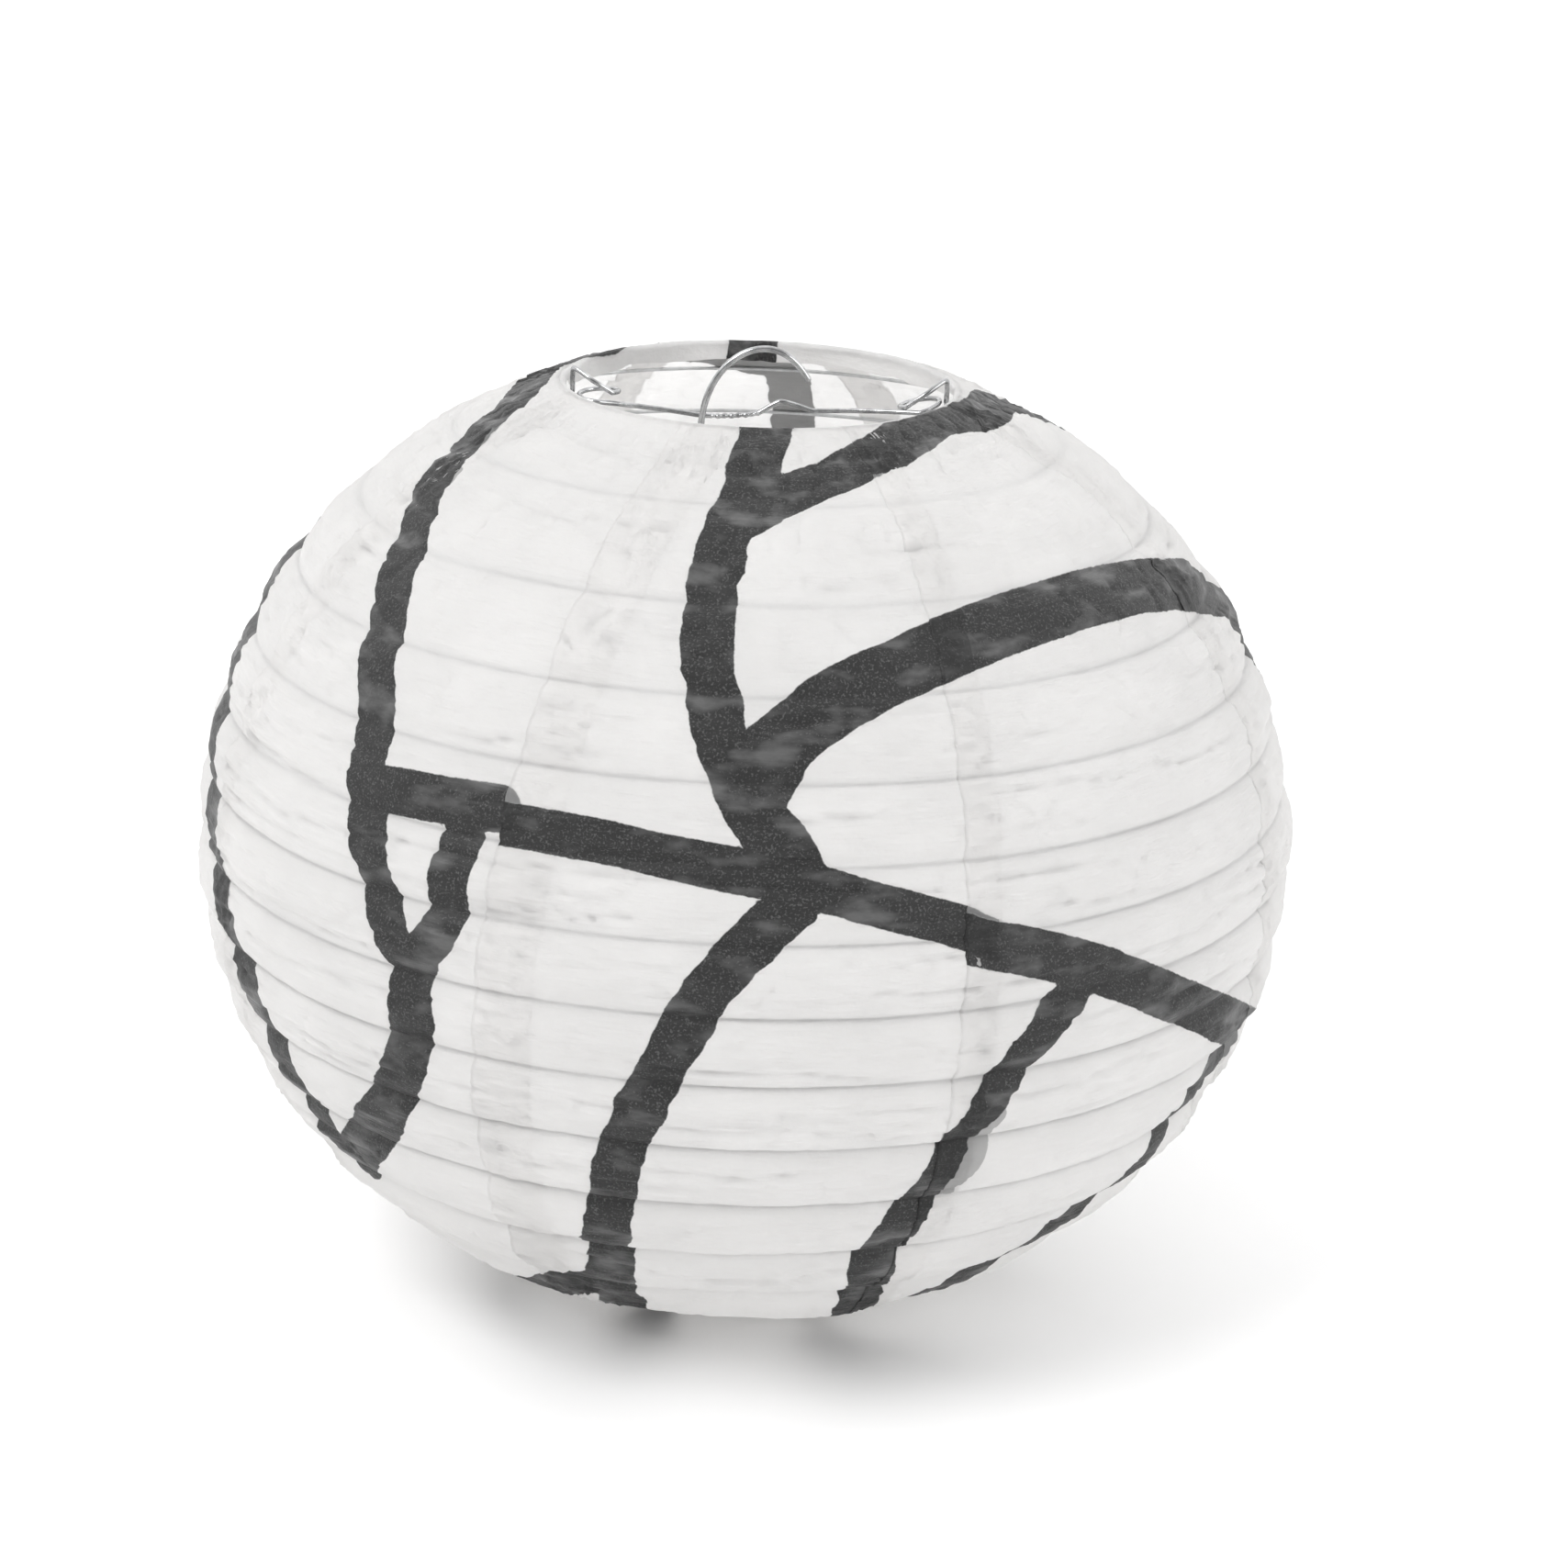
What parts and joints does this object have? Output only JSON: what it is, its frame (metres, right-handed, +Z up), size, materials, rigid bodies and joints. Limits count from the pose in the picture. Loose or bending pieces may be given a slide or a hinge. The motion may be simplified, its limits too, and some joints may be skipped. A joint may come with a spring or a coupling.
{
  "type": "accordion paper lantern",
  "caption": "Round accordion paper lantern: paper gores over wire ribs between two end rings, with a lift-out wire expander and hanging hook. It folds flat.",
  "frame": {"origin": "centre of the lower hem's flat underside, on the lantern's axis", "axes": "+Z up along the lantern's axis, +X along the expander's crossbars, -Y towards the viewer"},
  "size_m": [0.199, 0.199, 0.172],
  "materials": {
    "lantern_paper": "thin white tissue-like paper with broad black printed bands, creased",
    "rib_wire": "thin drawn steel wire, dull",
    "ring_wire": "drawn steel wire, satin",
    "expander_wire": "bright galvanised wire"
  },
  "bodies": {
    "base": {"lower_ring": "ring_wire", "lower_hem": "lantern_paper", "gore_1": "lantern_paper", "gore_2": "lantern_paper", "gore_3": "lantern_paper", "gore_4": "lantern_paper", "gore_5": "lantern_paper", "gore_6": "lantern_paper", "gore_7": "lantern_paper", "gore_8": "lantern_paper"},
    "crown": {"upper_ring": "ring_wire", "upper_hem": "lantern_paper"},
    "expander": {"hook_stem": "expander_wire", "upper_crossbar": "expander_wire", "lower_crossbar": "expander_wire"},
    "rib_01": {"rib_01": "rib_wire"},
    "rib_02": {"rib_02": "rib_wire"},
    "rib_03": {"rib_03": "rib_wire"},
    "rib_04": {"rib_04": "rib_wire"},
    "rib_05": {"rib_05": "rib_wire"},
    "rib_06": {"rib_06": "rib_wire"},
    "rib_07": {"rib_07": "rib_wire"},
    "rib_08": {"rib_08": "rib_wire"},
    "rib_09": {"rib_09": "rib_wire"},
    "rib_10": {"rib_10": "rib_wire"},
    "rib_11": {"rib_11": "rib_wire"},
    "rib_12": {"rib_12": "rib_wire"},
    "rib_13": {"rib_13": "rib_wire"}
  },
  "joints": [
    {"name": "collapse", "type": "slide", "parent": "base", "child": "crown", "axis": [0, 0, -1], "range_m": [0, 0.15], "deforming": ["gore_1", "gore_2", "gore_3", "gore_4", "gore_5", "gore_6", "gore_7", "gore_8", "upper_crossbar"]},
    {"name": "rib_01_slide", "type": "slide", "parent": "base", "child": "rib_01", "axis": [0, 0, -1], "range_m": [0, 0.00801]},
    {"name": "rib_02_slide", "type": "slide", "parent": "base", "child": "rib_02", "axis": [0, 0, -1], "range_m": [0, 0.01918]},
    {"name": "rib_03_slide", "type": "slide", "parent": "base", "child": "rib_03", "axis": [0, 0, -1], "range_m": [0, 0.03035]},
    {"name": "rib_04_slide", "type": "slide", "parent": "base", "child": "rib_04", "axis": [0, 0, -1], "range_m": [0, 0.04152]},
    {"name": "rib_05_slide", "type": "slide", "parent": "base", "child": "rib_05", "axis": [0, 0, -1], "range_m": [0, 0.05268]},
    {"name": "rib_06_slide", "type": "slide", "parent": "base", "child": "rib_06", "axis": [0, 0, -1], "range_m": [0, 0.06385]},
    {"name": "rib_07_slide", "type": "slide", "parent": "base", "child": "rib_07", "axis": [0, 0, -1], "range_m": [0, 0.07502]},
    {"name": "rib_08_slide", "type": "slide", "parent": "base", "child": "rib_08", "axis": [0, 0, -1], "range_m": [0, 0.08619]},
    {"name": "rib_09_slide", "type": "slide", "parent": "base", "child": "rib_09", "axis": [0, 0, -1], "range_m": [0, 0.09736]},
    {"name": "rib_10_slide", "type": "slide", "parent": "base", "child": "rib_10", "axis": [0, 0, -1], "range_m": [0, 0.10852]},
    {"name": "rib_11_slide", "type": "slide", "parent": "base", "child": "rib_11", "axis": [0, 0, -1], "range_m": [0, 0.11969]},
    {"name": "rib_12_slide", "type": "slide", "parent": "base", "child": "rib_12", "axis": [0, 0, -1], "range_m": [0, 0.13086]},
    {"name": "rib_13_slide", "type": "slide", "parent": "base", "child": "rib_13", "axis": [0, 0, -1], "range_m": [0, 0.14203]},
    {"name": "expander_lift", "type": "slide", "parent": "base", "child": "expander", "axis": [0, 0, 1], "range_m": [0, 0.19], "deforming": ["upper_crossbar", "lower_crossbar"]}
  ],
  "couplings": [
    {"joint": "rib_01_slide", "follows": "collapse", "ratio": 0.05328},
    {"joint": "rib_02_slide", "follows": "collapse", "ratio": 0.12773},
    {"joint": "rib_03_slide", "follows": "collapse", "ratio": 0.20219},
    {"joint": "rib_04_slide", "follows": "collapse", "ratio": 0.27664},
    {"joint": "rib_05_slide", "follows": "collapse", "ratio": 0.35109},
    {"joint": "rib_06_slide", "follows": "collapse", "ratio": 0.42555},
    {"joint": "rib_07_slide", "follows": "collapse", "ratio": 0.5},
    {"joint": "rib_08_slide", "follows": "collapse", "ratio": 0.57445},
    {"joint": "rib_09_slide", "follows": "collapse", "ratio": 0.64891},
    {"joint": "rib_10_slide", "follows": "collapse", "ratio": 0.72336},
    {"joint": "rib_11_slide", "follows": "collapse", "ratio": 0.79781},
    {"joint": "rib_12_slide", "follows": "collapse", "ratio": 0.87227},
    {"joint": "rib_13_slide", "follows": "collapse", "ratio": 0.94672}
  ]
}
